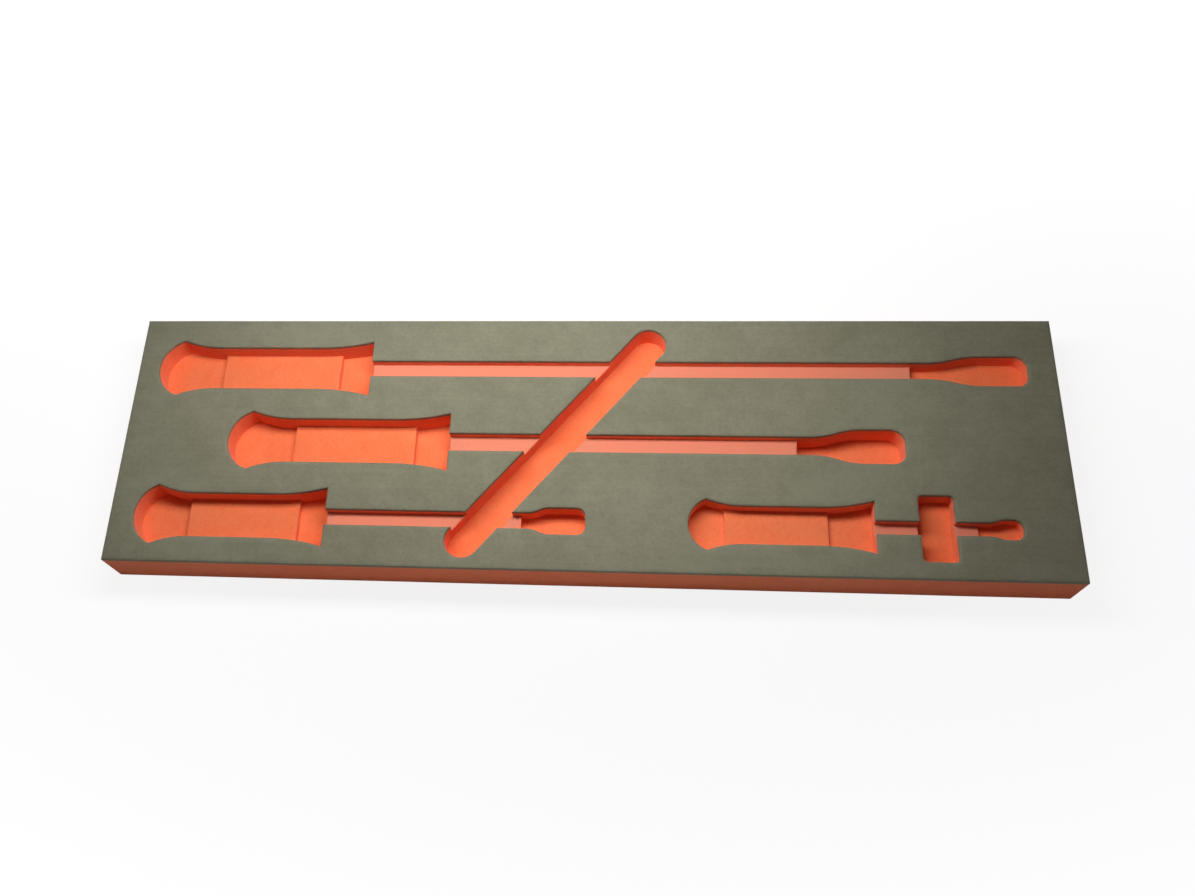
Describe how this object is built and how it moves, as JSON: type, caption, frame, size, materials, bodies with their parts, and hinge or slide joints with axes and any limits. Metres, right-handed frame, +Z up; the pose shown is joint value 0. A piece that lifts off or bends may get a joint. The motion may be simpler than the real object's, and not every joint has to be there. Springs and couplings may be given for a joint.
{
  "type": "foam tool insert",
  "caption": "Flat foam drawer insert: a dark skin over red foam, with recesses at stepped depths for flat-tipped bars, a slanted finger slot and a finger notch.",
  "frame": {"origin": "middle of the underside", "axes": "+X along the bars towards their tips, +Y towards the long edge beside the longest bar, +Z up out of the recesses"},
  "size_m": [0.64, 0.186, 0.035],
  "materials": {
    "dark_foam": "matte, closed-cell foam with a fine grain",
    "red_foam": "matte, closed-cell foam with cut cells",
    "bond_film": "thin melted bond line"
  },
  "bodies": {
    "root": {"base_slab": "red_foam", "pommel_sheet_bond_film": "bond_film", "pommel_sheet": "red_foam", "large_grip_sheet_bond_film": "bond_film", "large_grip_sheet": "red_foam", "small_grip_sheet_bond_film": "bond_film", "small_grip_sheet": "red_foam", "shaft_sheet_bond_film": "bond_film", "shaft_sheet": "red_foam", "top_skin_bond_film": "bond_film", "top_skin": "dark_foam"}
  },
  "joints": []
}
